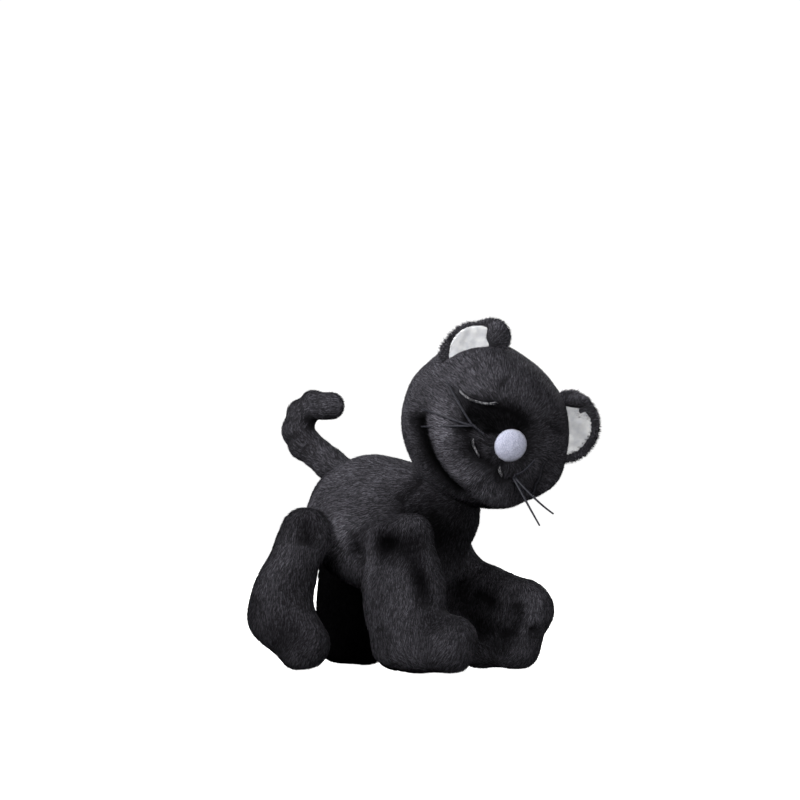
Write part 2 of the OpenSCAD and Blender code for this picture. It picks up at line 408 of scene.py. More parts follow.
HEAD_MARKS = [
    (head_line((-108, 26), (-112, -20)), 2.6, 24, 0.0),
    (head_line((66, 0), (72, 0)), 4.6, 16, 0.0),
    (head_line((74, 79), (74, 82)), -1.8, 22, 0.0),
    (head_line((-113, 30), (-113, 44)), 2.4, 10, 0.0),
    (CHEEK_RIDGE, 3.2, 9, -0.8),
    (CHEEK_VALLEY, -3.6, 7, 1.05),
    (BROW, -2.0, 3.2, 0.85),
    (head_line((-36, 2), (-26, 7), (-16, 13), (-4, 14), (6, 12)), -2.4, 5, 0.75),
    (HOLLOW, -2.6, 8, 0.95),
    (HOLLOW_SIDE, -2.4, 6, 0.75),
    (RIGHT_SEAM, 0.9, 2.5, -0.25),
    (EYE_LEFT, -1.0, 2.6, 0.5),
    (MOUTH, -2.0, 3.4, 0.8),
    (MOUTH_SIDE, -1.4, 2.6, 0.7),
    (SMALL_CREASE, -0.8, 2.2, 0.5),
    (FOREHEAD, -0.7, 2.2, 0.4),
    (spot(48, -8, 30), 0.0, 30, 0.2),
    (head_line((-1, 3), (1, 3)), -1.4, 13, 0.6),
    (head_line((-20, -34), (-8, -33), (4, -33)), 1.6, 12, -0.25),
]


def head_folds(p):
    q = to_head(p)
    return swell(q, SEED, "head") + height_of(q, HEAD_MARKS)


# Painted shade and painted highlights on the head's pile
def head_painted_light(p):
    return HEAD_PAINTED_LIGHT * painted_light_of(to_head(p), HEAD_MARKS)


# Every leg: its side, and stretches down the leg and out to the toes.
# Each end of a stretch is (x, z, radius, half thickness)
LEG_FIELDS = {
    "fore_right": (
        -1,
        [
            ((-1, 87, 16, 11), (6, 66, 24, 14)),
            ((17, 89, 17, 11), (16, 64, 25, 14)),
            ((12, 64, 26, 14), (16, 38, 27, 16)),
            ((16, 38, 27, 16), (24, 22, 20, 18)),
            ((8, 20, 17, 17), (46, 20, 20, 19)),
        ],
    ),
    "fore_left": (
        1,
        [
            ((-6, 83, 14, 11), (5, 57, 18, 14)),
            ((5, 57, 18, 14), (27, 43, 23.5, 16)),
            ((27, 43, 23.5, 16), (50, 40.5, 20, 18)),
            ((49, 40, 20, 18), (42, 20, 20, 18)),
            ((22, 20, 20, 17), (42, 20, 20, 18)),
            ((6, 48, 20, 14), (20, 26, 20, 16)),
        ],
    ),
    "hind_right": (
        -1,
        [
            ((-62.5, 92, 18, 12), (-77, 62, 17.3, 14)),
            ((-77, 62, 17.3, 14), (-82.5, 40, 22, 16)),
            ((-82.5, 40, 22, 16), (-65, 18, 18, 17)),
        ],
    ),
    "hind_left": (
        1,
        [
            ((-66, 90, 17, 11), (-80, 64, 23, 13)),
            ((-80, 64, 23, 13), (-84, 39, 22, 16)),
            ((-88, 19, 19, 17), (-77, 18, 19, 18)),
            ((-84, 39, 22, 16), (-82, 22, 20, 18)),
        ],
    ),
}
PAW_TOP = {"fore_right": 36, "fore_left": 46, "hind_right": 38, "hind_left": 38}
INNER_FLAT = 32.8


def leg_field(leg):
    side, stretches = LEG_FIELDS[leg]
    y = side * LEG_Y

    def field(p):
        d = None
        for (ax, az, ar, at), (bx, bz, br, bt) in stretches:
            e = limb(p, (ax, az), ar, (bx, bz), br, y, at, bt)
            d = e if d is None else join(d, e, 6)
        d = cut(d, INNER_FLAT - side * p[:, 1], 3)
        return cut(d, FLOOR_GAP - p[:, 2], 5)

    return field


# The outer and the inner flank of a leg, where its marks lie
OUT = LEG_Y + 14
IN = LEG_Y - 14
# The last number of each mark is painted shade, or a painted highlight where below 0
LEG_MARKS = {
    "fore_right": [
        (spot(6, -OUT, 89), -3.8, 8, 1.2),
        (spot(31, -OUT, 91), -2.8, 7, 1.0),
        (spot(18, -OUT, 86), -0.6, 6, 0.6),
        ([(27, -OUT, 88), (31, -OUT, 76), (35, -OUT, 60), (40, -OUT, 44)], -3.0, 4.5, 1.22),
        ([(-12, -OUT, 96), (6, -OUT, 102), (22, -OUT, 103)], 1.2, 4, -0.5),
        ([(37, -OUT, 92), (42, -OUT, 76), (46, -OUT, 60)], 1.4, 4, -0.2),
        ([(3, -OUT, 34), (6, -OUT, 26), (14, -OUT, 20)], -1.4, 5, 0.5),
        (spot(44, -OUT, 36), -0.6, 7, 0.5),
        ([(0, -OUT, 74), (4, -OUT, 56), (10, -OUT, 44)], 0.8, 9, 0.12),
        # A painted highlight along the leg's front edge
        ([(-7, -OUT, 92), (-8, -OUT, 70), (-7, -OUT, 48)], 0.6, 3.5, -1.2),
    ],
    "fore_left": [
        # A painted highlight on the toes
        (spot(66, IN, 36), 0.0, 16, -0.7),
        ([(22, IN, 54), (29, IN, 50), (37, IN, 45)], -2.6, 3.5, 0.8),
        ([(55, IN, 50), (54, IN, 38), (52, IN, 29), (38, IN, 24)], -2.6, 5, 0.75),
        ([(62, IN + 4, 31), (68, IN + 6, 27), (73, IN + 10, 24)], -2.6, 3, 0.85),
        ([(8, IN, 66), (20, IN, 40), (32, IN, 22)], -1.0, 9, 0.8),
        (spot(40, IN, 56), 0.6, 8, 0.3),
    ],
    "hind_right": [
        ([(-53, -OUT, 106), (-53, -OUT, 96), (-56, -OUT, 84)], -2.2, 7, 1.0),
        (spot(-70, -OUT, 24), -1.8, 12, 0.7),
        ([(-72, -OUT, 84), (-82, -OUT, 66), (-88, -OUT, 50)], 0.8, 8, -0.2),
        (spot(-96, -OUT, 42), -0.6, 7, 0.35),
        ([(-62, -OUT, 74), (-64, -OUT, 56), (-68, -OUT, 44)], -0.6, 6, 0.3),
    ],
    "hind_left": [(spot(-80, IN, 50), -0.6, 12, 0.5)],
}


def leg_folds(leg):
    def folds(p):
        return swell(p, SEED + len(leg), "leg") + height_of(p, LEG_MARKS[leg])

    return folds


# How dark the inner side of each leg is painted, as painted shade where it lies between the legs and under
# the belly, how far out that reaches, and over what width it fades
INNER_PAINTED_SHADE = {
    "fore_right": (0.7, 0),
    "fore_left": (0.0, 0),
    "hind_right": (0.7, 0),
    "hind_left": (0.95, 12),
}
INNER_FADE = 15


# Painted shade and painted highlights on a leg's pile, with painted shade on its inner side
def leg_painted_light(leg):
    deep, reach = INNER_PAINTED_SHADE[leg]

    def tone(p):
        inner = np.clip((LEG_Y + reach - np.abs(p[:, 1])) / INNER_FADE, 0, 1)
        return LEG_PAINTED_LIGHT * painted_light_of(p, LEG_MARKS[leg]) * (1 - deep * inner)

    return tone


# The middle of the tail from root to tip, and its radius there
TAIL = [
    np.array([-51.0, 0, 126]),
    JOINTS["tail_wag"] + np.array([-4.5, 0, -3.0]),
    JOINTS["tail_bend"] + np.array([-4.4, 0, 0.0]),
    np.array([-96.8, 0, 160]),
    JOINTS["tail_uncurl"] + np.array([1.2, 0, 0.8]),
    np.array([-85.0, 0, 177.8]),
    np.array([-72.0, 0, 177.6]),
]
TAIL_R = [9.8, 10.0, 10.4, 10.2, 9.6, 9.2, 9.2]


def tail_field(p):
    d = rod(p, TAIL[0], TAIL[1], TAIL_R[0], TAIL_R[1])
    for i in range(1, len(TAIL) - 1):
        d = join(d, rod(p, TAIL[i], TAIL[i + 1], TAIL_R[i], TAIL_R[i + 1]), 3)
    return d


# The last number of each mark is painted shade in the tail's creases
TAIL_MARKS = [
    ([(-80, 0, 162), (-85, 0, 166), (-90, -6, 170)], -1.8, 4, 0.6),
    (spot(-92, -10, 154), -0.8, 5, 0.4),
    (spot(-84, -10, 150), -0.6, 6, 0.4),
]


def tail_folds(p):
    return swell(p, SEED + 5, "tail") + height_of(p, TAIL_MARKS)


# Painted shade on the tail's pile
def tail_painted_light(p):
    return TAIL_PAINTED_LIGHT * painted_light_of(p, TAIL_MARKS)


# The last number of each mark is painted shade, or a painted highlight where below 0
TORSO_MARKS = [
    ([(6, -22, 135), (11, -22, 129), (6, -26, 121), (-1, -30, 114)], -4.2, 3.4, 1.1),
    ([(-9, -20, 135), (-2, -20, 137), (5, -18, 138)], 1.6, 4, -0.4),
    ([(12, -24, 124), (8, -30, 116), (4, -33, 110)], 2.0, 4, -0.4),
    ([(0, -32, 108), (10, -33, 106), (20, -30, 110)], -1.6, 6, 0.8),
    ([(21, -25, 110), (34, -25, 84), (40, -24, 66)], -1.4, 6, 0.8),
    # Painted shadow of the head over the throat and chest
    (spot(28, -18, 98), 0.0, 32, 0.88),
    ([(-30, -36, 95), (-28, -36, 86), (-28, -36, 78)], -1.6, 4, 0.7),
    ([(-54, -34, 95), (-38, -37, 93), (-29, -37, 86)], 1.2, 7, -0.5),
    ([(-60, -30, 78), (-46, -34, 66), (-34, -32, 58)], -1.0, 6, 0.5),
    ([(-34, 0, 144), (-52, 0, 142), (-66, 0, 132)], -0.5, 2, 0.2),
]


def torso_folds(p):
    return swell(p, SEED + 7, "torso") + height_of(p, TORSO_MARKS)


# Painted shade and painted highlights on the torso's pile
def torso_painted_light(p):
    return painted_light_of(p, TORSO_MARKS)


def even_tone(p):
    return np.ones(len(p))


# The collar under the head is painted dark, as painted shade
def collar_painted_shade(p):
    return COLLAR_PAINTED_LIGHT * even_tone(p)


# ---------------------------------------------------------------- fabric with pile


def skin_mesh(field, folds, low, high, planes, step=NET_STEP):
    """The full skin in mm, as triangles, with the seams of its panels cut into it."""
    verts, quads = surface_net(field, low, high, step)
    verts = relaxed(field, onto(field, verts), quads)
    normal = unit(gradient(field, verts))
    verts = verts + normal * folds(verts)[:, None]
    bm = bmesh.new()
    made = [bm.verts.new(v) for v in verts]
    for q in quads:
        bm.faces.new([made[i] for i in q])
    for point, direction in planes:
        everything = bm.verts[:] + bm.edges[:] + bm.faces[:]
        bmesh.ops.bisect_plane(
            bm,
            geom=everything,
            dist=0.05,
            plane_co=list(map(float, point)),
            plane_no=list(map(float, direction)),
        )
    bmesh.ops.recalc_face_normals(bm, faces=bm.faces[:])
    bmesh.ops.triangulate(bm, faces=bm.faces[:])
    bm.verts.ensure_lookup_table()
    bm.verts.index_update()
    bm.normal_update()
    points = np.array([v.co for v in bm.verts])
    normals = np.array([v.normal for v in bm.verts])
    tris = np.array([[v.index for v in f.verts] for f in bm.faces])
    bm.free()
    return points, normals, tris


def closed_panel(points, normals, tris, thick=SKIN):
    """A panel of fabric with an inner side and an edge all round."""
    used = np.unique(tris)
    renamed = -np.ones(len(points), int)
    renamed[used] = np.arange(len(used))
    t = renamed[tris]
    outer, n = points[used], normals[used]
    size = len(used)
    a = t.reshape(-1)
    b = np.roll(t, -1, axis=1).reshape(-1)
    key = a * size + b
    back = b * size + a
    edge = ~np.isin(key, back)
    a, b = a[edge], b[edge]
    rim = np.concatenate([np.stack([b, a, a + size], 1), np.stack([b, a + size, b + size], 1)])
    verts = np.concatenate([outer, outer - n * thick])
    faces = np.concatenate([t, t[:, ::-1] + size, rim])
    return verts, faces, np.concatenate([n, n]), np.concatenate([used, used])


def pile(points, normals, tris, flow, seed, length=PILE_LEN, density=PILE_DENSITY, rise=PILE_RISE):
    """Closed slender strands, rooted at random on the panel and combed along the flow."""
    rng = np.random.default_rng(seed)
    a, b, c = (points[tris[:, k]] for k in range(3))
    area = np.linalg.norm(np.cross(b - a, c - a), axis=1) / 2
    count = int(area.sum() * density)
    pick = rng.choice(len(tris), count, p=area / area.sum())
    u, v = rng.random(count), rng.random(count)
    over = u + v > 1
    u[over], v[over] = 1 - u[over], 1 - v[over]
    w = 1 - u - v
    corners = tris[pick]
    weights = np.stack([w, u, v], 1)
    root = np.einsum("ij,ijk->ik", weights, points[corners])
    n = unit(np.einsum("ij,ijk->ik", weights, normals[corners]))
    along = flow(root)
    along = unit(along - n * np.sum(along * n, axis=1)[:, None])
    side = np.cross(along, n)
    swing = 0.22 * waves(root, SEED + 1, 24) + 0.08 * waves(root, SEED + 2, 7) + rng.normal(0, 0.1, count)
    along = along * np.cos(swing)[:, None] + side * np.sin(swing)[:, None]
    side = np.cross(along, n)
    up = np.radians(rise + 1.2 * waves(root, SEED + 4, 14) + rng.normal(0, 3.0, count))
    direction = along * np.cos(up)[:, None] + n * np.sin(up)[:, None]
    long = length * rng.uniform(0.7, 1.25, count)
    foot = root - n * ROOT_DEPTH
    half = side * (PILE_WIDTH * 0.5 * rng.uniform(0.7, 1.25, count))[:, None]
    tip = foot + direction * long[:, None]
    tip[:, 2] = np.maximum(tip[:, 2], TIP_GAP)
    foot[:, 2] = np.maximum(foot[:, 2], FLOOR_GAP)
    verts = np.stack([foot - half, foot + half, foot - n * PILE_DEPTH, tip], 1).reshape(-1, 3)
    verts[:, 2] = np.maximum(verts[:, 2], STRAND_GAP)
    base = (np.arange(count) * 4)[:, None, None]
    faces = (base + np.array([[0, 1, 3], [1, 2, 3], [2, 0, 3], [0, 2, 1]])).reshape(-1, 3)
    lift = unit(n + side * rng.normal(0, 0.25, count)[:, None] + along * 0.05)
    return verts, faces, np.repeat(lift, 4, axis=0), np.repeat(root, 4, axis=0)


def mesh_object(name, verts, faces, normals=None, slots=(), which=None, tone=None):
    """A mesh object from triangles given in mm."""
    mesh = bpy.data.meshes.new(name)
    mesh.vertices.add(len(verts))
    mesh.vertices.foreach_set("co", (np.asarray(verts) * MM).astype(np.float32).ravel())
    mesh.loops.add(faces.size)
    mesh.loops.foreach_set("vertex_index", faces.astype(np.int32).ravel())
    mesh.polygons.add(len(faces))
    mesh.polygons.foreach_set("loop_start", (np.arange(len(faces)) * 3).astype(np.int32))
    mesh.polygons.foreach_set("use_smooth", np.ones(len(faces), bool))
    for look in slots:
        mesh.materials.append(look)
    if which is not None:
        mesh.polygons.foreach_set("material_index", which.astype(np.int32))
    mesh.update(calc_edges=True)
    mesh.validate()
    # The tone attribute holds painted shade and painted highlights
    if tone is not None:
        values = mesh.attributes.new("tone", "FLOAT", "POINT").data
        values.foreach_set("value", tone.astype(np.float32))
    if normals is not None:
        mesh.normals_split_custom_set_from_vertices(normals.astype(np.float32))
    obj = bpy.data.objects.new(name, mesh)
    bpy.context.scene.collection.objects.link(obj)
    return obj


def plush_piece(name, points, normals, tris, flow, painted_light_at, seed, slot="plush", **hair):
    """One panel of plush: its fabric and its pile in one closed piece."""
    shell, shell_faces, shell_normals, used = closed_panel(points, normals, tris)
    hairs, hair_faces, hair_normals, roots = pile(points, normals, tris, flow, seed, **hair)
    verts = np.concatenate([shell, hairs])
    faces = np.concatenate([shell_faces, hair_faces + len(shell)])
    which = np.concatenate([np.zeros(len(shell_faces)), np.ones(len(hair_faces))])
    both = np.concatenate([shell_normals, hair_normals])
    mats = (MATERIALS["plush_ground"], MATERIALS["plush"])
    # Painted shade and painted highlights for the fabric and the pile
    tone = np.concatenate([painted_light_at(points[used]), painted_light_at(roots)])
    obj = mesh_object(name, verts, faces, both, mats, which, tone)
    return obj


# ---------------------------------------------------------------- materials


def material(name, color, rough, specular, sheen=0.0):
    m = bpy.data.materials.new(name)
    m.use_nodes = True
    shader = m.node_tree.nodes["Principled BSDF"]
    shader.inputs["Base Color"].default_value = (*color, 1)
    shader.inputs["Roughness"].default_value = rough
    shader.inputs["Specular IOR Level"].default_value = specular
    shader.inputs["Sheen Weight"].default_value = sheen
    shader.inputs["Sheen Roughness"].default_value = 0.45
    shader.inputs["Sheen Tint"].default_value = (1, 1, 1, 1)
    return m, m.node_tree, shader


def ramp(tree, stops):
    node = tree.nodes.new("ShaderNodeValToRGB")
    elements = node.color_ramp.elements
    while len(elements) < len(stops):
        elements.new(0.5)
    for element, (place, color) in zip(elements, stops):
        element.position = place
        element.color = (*color, 1)
    return node


def noise(tree, scale, detail):
    where = tree.nodes.new("ShaderNodeTexCoord")
    node = tree.nodes.new("ShaderNodeTexNoise")
    node.inputs["Scale"].default_value = scale
    node.inputs["Detail"].default_value = detail
    tree.links.new(where.outputs["Object"], node.inputs["Vector"])
    return node


def mottled(tree, scale, detail, stops):
    """A colour that runs through the stops over noise of that scale."""
    tone = ramp(tree, stops)
    tree.links.new(noise(tree, scale, detail).outputs["Fac"], tone.inputs["Fac"])
    return tone.outputs["Color"]


def multiplied(tree, one, two):
    mix = tree.nodes.new("ShaderNodeMix")
    mix.data_type = "RGBA"
    mix.blend_type = "MULTIPLY"
    mix.inputs["Factor"].default_value = 1.0
    tree.links.new(one, mix.inputs["A"])
    tree.links.new(two, mix.inputs["B"])
    return mix.outputs["Result"]


def plush_color(tree, shader, base):
    """Darkens the pile with painted shade in its creases and shaded parts, and lightens it with painted
    highlights, from its tone attribute; and darkens it in soft patches.
    """
    # The tone attribute holds the painted shade and painted highlights
    tone = tree.nodes.new("ShaderNodeAttribute")
    tone.attribute_name = "tone"
    patches = mottled(tree, 40.0, 1.0, [(0.35, (0.82, 0.82, 0.82)), (0.65, (1.12, 1.12, 1.12))])
    color = multiplied(tree, base, tone.outputs["Color"])
    color = multiplied(tree, color, patches)
    tree.links.new(color, shader.inputs["Base Color"])


STRAND_COLORS = [
    (0.0, (0.014, 0.0136, 0.0156)),
    (0.5, (0.038, 0.0366, 0.0425)),
    (1.0, (0.125, 0.121, 0.141)),
]


def plush_material():
    """Black pile: each strand a little lighter or darker."""
    m, tree, shader = material("plush", (0.03, 0.03, 0.034), 0.85, 0.01)
    geo = tree.nodes.new("ShaderNodeNewGeometry")
    strand = ramp(tree, STRAND_COLORS)
    tree.links.new(geo.outputs["Random Per Island"], strand.inputs["Fac"])
    plush_color(tree, shader, strand.outputs["Color"])
    return m


def ground_material():
    """The woven ground under the pile."""
    m, tree, shader = material("plush_ground", (0.012, 0.012, 0.014), 0.9, 0.01)
    weave = mottled(tree, 900.0, 2.0, [(0.3, (0.012, 0.012, 0.013)), (0.7, (0.026, 0.025, 0.029))])
    plush_color(tree, shader, weave)
    return m


def mottled_material(name, color, rough, specular, sheen, scale, detail, stops):
    """Cloth or thread whose colour runs through the stops, over noise of that scale."""
    m, tree, shader = material(name, color, rough, specular, sheen)
    tree.links.new(mottled(tree, scale, detail, stops), shader.inputs["Base Color"])
    return m


# White satin, lilac velour, plain dark thread, and glossy black embroidery thread with painted glints in
# its colour
SATIN_COLORS = [(0.3, (0.44, 0.45, 0.48)), (0.7, (0.6, 0.6, 0.6))]
VELOUR_COLORS = [(0.34, (0.19, 0.195, 0.25)), (0.5, (0.31, 0.32, 0.4)), (0.66, (0.48, 0.49, 0.6))]
THREAD_COLORS = [(0.3, (0.008, 0.008, 0.011)), (0.7, (0.022, 0.022, 0.028))]
STITCH_PAINTED_GLINT_COLORS = [(0.48, (0.015, 0.015, 0.018)), (0.6, (0.2, 0.2, 0.21))]
MATERIALS = {
    "plush": plush_material(),
    "plush_ground": ground_material(),
    "lining": mottled_material("lining", (0.86, 0.86, 0.89), 0.38, 0.5, 0.2, 260.0, 4.0, SATIN_COLORS),
    "nose": mottled_material("nose", (0.36, 0.37, 0.46), 0.9, 0.1, 0.2, 2200.0, 3.0, VELOUR_COLORS),
    "thread": mottled_material("thread", (0.012, 0.012, 0.016), 0.5, 0.15, 0.0, 700.0, 2.0, THREAD_COLORS),
    # Glossy black thread whose lighter flecks are painted glints
    "painted_glint_stitch": mottled_material("painted_glint_stitch", (0.1, 0.1, 0.11), 0.3, 0.4, 0.0, 620.0, 2.0, STITCH_PAINTED_GLINT_COLORS),
}


# ---------------------------------------------------------------- the pieces


def make_torso():
    def flow(p):
        back = np.array([-1.0, 0.0, -0.35])
        down = np.array([0.0, 0.0, -1.0])
        lower = np.clip((112 - p[:, 2]) / 50, 0, 1)[:, None]
        return back * (1 - 0.55 * lower) + down * lower

    low, high = (-86, -44, 44), (46, 44, 146)
    planes = [((0, 0, 0), (0, 1, 0)), ((0, 0, BELLY_SEAM), (0, 0, 1))]
    points, normals, tris = skin_mesh(dented_torso, torso_folds, low, high, planes)
    middle = points[tris].mean(axis=1)
    under = middle[:, 2] < BELLY_SEAM
    right = ~under & (middle[:, 1] < 0)
    left = ~under & (middle[:, 1] >= 0)
    for name, where, hidden, seed in (
        ("torso_side_right", right, ("torso_side_right", "torso_stuffing"), 101),
        ("torso_side_left", left, ("torso_side_left",), 102),
        ("belly_panel", under, ("belly_panel", "belly_pellet_bag"), 103),
    ):
        obj = plush_piece(name + "_plush", points, normals, tris[where], flow, torso_painted_light, seed)
        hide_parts(*hidden)
        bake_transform(obj)


def make_head():
    nose = from_head(on_head(*NOSE_AT))

    def flow(p):
        return unit(p - nose)

    box = np.array([60.0, 60.0, 60.0])
    planes = [
        (from_head((0, HEAD_STRIP, 0)), HEAD[:, 1]),
        (from_head((0, -HEAD_STRIP, 0)), HEAD[:, 1]),
        (from_head((0, 0, 0)), HEAD[:, 2]),
        (from_head((CHIN_FRONT, 0, 0)), HEAD[:, 0]),
    ]
    points, normals, tris = skin_mesh(head_field, head_folds, HEAD_C - box, HEAD_C + box, planes)
    middle = to_head(points[tris].mean(axis=1))
    strip = np.abs(middle[:, 1]) < HEAD_STRIP
    above = middle[:, 2] >= 0
    front = middle[:, 0] >= CHIN_FRONT
    for name, where, hidden, seed in (
        ("crown_panel", strip & above, ("crown_panel", "head_stuffing"), 201),
        ("nape_panel", strip & ~above & ~front, ("nape_panel",), 202),
        ("chin_panel", strip & ~above & front, ("chin_panel",), 203),
        ("cheek_right", ~strip & (middle[:, 1] < 0), ("cheek_right",), 204),
        ("cheek_left", ~strip & (middle[:, 1] > 0), ("cheek_left",), 205),
    ):
        obj = plush_piece(name + "_plush", points, normals, tris[where], flow, head_painted_light, seed)
        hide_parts(*hidden)
        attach(obj, "head")


def make_leg(leg):
    side, stretches = LEG_FIELDS[leg]
    ends = np.array([s for pair in stretches for s in pair], float)
    low = (ends[:, 0] - ends[:, 2]).min() - 6, side * LEG_Y - 24, -3
    high = (ends[:, 0] + ends[:, 2]).max() + 6, side * LEG_Y + 24, (ends[:, 1] + ends[:, 2]).max() + 6
    toe = np.array([ends[:, 0].max() - 6, side * LEG_Y, 10.0])

    def flow(p):
        down = np.array([-0.1, 0.0, -1.0])
        near = np.clip((48 - p[:, 2]) / 40, 0, 1)[:, None]
        return down * (1 - near) + unit(toe - p) * np.array([0.9, 0.2, 0.5]) * near + down * 0.35 * near

    top = PAW_TOP[leg]
    planes = [
        ((0, side * LEG_Y, 0), (0, 1, 0)),
        ((0, 0, top), (0, 0, 1)),
        ((0, 0, SOLE_SEAM), (0, 0, 1)),
    ]
    folds = leg_folds(leg)
    points, normals, tris = skin_mesh(leg_field(leg), folds, low, high, planes)
    middle = points[tris].mean(axis=1)
    sole = middle[:, 2] < SOLE_SEAM
    paw = (middle[:, 2] < top) & ~sole
    outer = ~sole & ~paw & (side * middle[:, 1] > LEG_Y)
    inner = ~sole & ~paw & ~outer
    seed = 300 + 10 * list(LEG_FIELDS).index(leg)
    for part, where, hidden in (
        ("leg_outer", outer, ("leg_outer", "leg_stuffing")),
        ("leg_inner", inner, ("leg_inner",)),
        ("paw_cover", paw, ("paw_cover", "paw_pellets")),
        ("paw_sole", sole, ("paw_sole",)),
    ):
        seed += 1
        obj = plush_piece(f"{leg}_{part}_plush", points, normals, tris[where], flow, leg_painted_light(leg), seed)
        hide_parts(*(f"{leg}_{h}" for h in hidden))
        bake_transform(obj)


def make_tail():
    def flow(p):
        out = np.zeros_like(p)
        best = np.full(len(p), 1e9)
        for i in range(len(TAIL) - 1):
            d, _ = to_segment(p, TAIL[i], TAIL[i + 1])
            near = d < best
            best = np.where(near, d, best)
            out = np.where(near[:, None], unit(TAIL[i + 1] - TAIL[i]), out)
        return out

    seam_one = (TAIL[1] + TAIL[2]) / 2
    seam_two = (TAIL[2] + TAIL[3]) / 2
    one = unit(TAIL[2] - TAIL[1])
    two = unit(TAIL[3] - TAIL[2])
    low, high = (-114, -15, 112), (-36, 15, 196)
    planes = [(seam_one, one), (seam_two, two)]
    points, normals, tris = skin_mesh(tail_field, tail_folds, low, high, planes)
    middle = points[tris].mean(axis=1)
    base = ((middle - seam_one) @ one < 0) & (middle[:, 2] < 162)
    tip = ~base & (((middle - seam_two) @ two > 0) | (middle[:, 0] > -78))
    for name, where, bodies, joint, along, seed in (
        ("tail_base", base, ("torso", "tail_base"), TAIL[1], one, 401),
        ("tail_middle", ~base & ~tip, ("tail_base", "tail_middle"), TAIL[2], unit(one + two), 402),
        ("tail_tip", tip, ("tail_middle", "tail_tip"), TAIL[4], unit(TAIL[5] - TAIL[3]), 403),
    ):
        obj = plush_piece(name + "_plush", points, normals, tris[where], flow, tail_painted_light, seed, length=4.0)
        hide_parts(name + "_cover", name + "_stuffing")
        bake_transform(obj)


# ---------------------------------------------------------------- ears


def ear_frame(way):
    turned = HEAD @ turn_x(-way * EAR_LEAN)

    def to_ear(p):
        return (p - HEAD_C) @ turned

    return turned, to_ear


# Each ear in its own frame, right (-1) and left (1). A round lump is (crownward, outward, radius),
# and the folded curl is (crownward, outward, half width, half height)
EARS = {
    -1: {
        "outline": (-3.5, 50, 23.2),
        "shoulder": (10, 60, 13.5),
        "curl": (14.8, 62.2, 6.4, 8.8),
        "lining": (-2.5, 54, 18.0),
    },
    1: {
        "outline": (-4, 54, 24.0),
        "shoulder": (7, 58, 12.5),
        "curl": (14, 61, 4.0, 8.5),
        "lining": (-3.8, 53.6, 19.0),
    },
}
EAR_BACK = (-1.0, 2.6)
EAR_LINING = (1.3, 1.3)
EAR_CUP = 170.0
EAR_CUP_MIDDLE = 50
EAR_CUP_EDGE = 30
EAR_FOOT = 50.5
EAR_SINK = 3
EAR_BOX = 38
EAR_PILE = 3.0


def ear_flat(p, way):
    """The ear's own frame with its cupped shape laid flat: forward, crownward and outward."""
    q = ear_frame(way)[1](p)
    q[:, 1] *= -way
    reach = q[:, 1] ** 2 + (q[:, 2] - EAR_CUP_MIDDLE) ** 2
    q[:, 0] -= np.minimum(reach, EAR_CUP_EDGE**2) / EAR_CUP
    return q


def ear_back_field(way):
    shape = EARS[way]

    def field(p):
        q = ear_flat(p, way)
        forward, thick = EAR_BACK
        c, z, r = shape["outline"]
        d = ball(q, (forward, c, z), (thick, r, r))
        c, z, r = shape["shoulder"]
        d = join(d, ball(q, (forward, c, z), (thick, r, r)), 3)
        c, z, wide, tall = shape["curl"]
        d = join(d, ball(q, (1.6, c, z), (4.0, wide, tall)), 2)
        d = cut(d, EAR_FOOT - q[:, 2], 2)
        return cut(d, -ball(to_head(p), (0, 0, 0), HEAD_RADII - EAR_SINK), 1)

    return field


def ear_lining_field(way):
    shape = EARS[way]

    def field(p):
        q = ear_flat(p, way)
        forward, thick = EAR_LINING
        c, z, r = shape["lining"]
        d = ball(q, (forward, c, z), (thick, r, r))
        return cut(d, -ball(to_head(p), (0, 0, 0), HEAD_RADII - EAR_SINK), 0.6)

    return field


def make_ear(way):
    side = "left" if way > 0 else "right"
    turned, to_ear = ear_frame(way)
    middle = HEAD_C + turned @ np.array([0, 0, 56.0])
    low, high = middle - EAR_BOX, middle + EAR_BOX

    def flow(p):
        return unit(p - (HEAD_C + turned @ np.array([0, 0, 48.0])))

    def back_folds(p):
        return swell(p, SEED + 20, "ear")

    field = ear_back_field(way)
    points, normals, tris = skin_mesh(field, back_folds, low, high, [], EAR_STEP)
    back = plush_piece(
        f"ear_{side}_back_plush", points, normals, tris, flow, even_tone, 500 + way, length=EAR_PILE
    )
    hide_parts(f"ear_{side}_back")
    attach(back, f"ear_{side}")

    def satin_folds(p):
        q = to_ear(p)
        pleats = np.sin(np.arctan2(q[:, 1], q[:, 2] - 40) * 9 + 0.5 * waves(p, SEED + 21, 12))
        return 0.15 * waves(p, SEED + 22, 9) + 0.15 * pleats

    points, normals, tris = skin_mesh(ear_lining_field(way), satin_folds, low, high, [], EAR_STEP)
    lining = mesh_object(f"ear_{side}_lining_satin", points, tris, normals, (MATERIALS["lining"],))
    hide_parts(f"ear_{side}_lining")
    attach(lining, f"ear_{side}")


# ---------------------------------------------------------------- nose, stitches and whiskers


NOSE_RADII = (4.2, 10.8, 10.8)
NOSE_SINK = 3.2
WHISKER_RADIUS = 0.85
WHISKER_TAPER = 0.3


def make_nose():
    middle = on_head(*NOSE_AT)
    out = unit(middle)

    def field(p):
        q = to_head(p)
        dome = ball(q, middle - out * 0.4, NOSE_RADII)
        return cut(dome, -ball(q, (0, 0, 0), HEAD_RADII - NOSE_SINK), 1)

    def folds(p):
        return 0.05 * waves(p, SEED + 30, 1.6) + 0.06 * waves(p, SEED + 31, 5)

    box = np.array([14.0, 14.0, 14.0])
    place = from_head(middle)
    points, normals, tris = skin_mesh(field, folds, place - box, place + box, [], NOSE_STEP)
    velour = pile(points, normals, tris, lambda p: p - place, 601, length=0.9, density=6.0, rise=50)
    verts = np.concatenate([points, velour[0]])
    faces = np.concatenate([tris, velour[1] + len(points)])
    both = np.concatenate([normals, velour[2]])
    obj = mesh_object("nose_velour", verts, faces, both, (MATERIALS["nose"],))
    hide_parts("nose")
    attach(obj, "head")


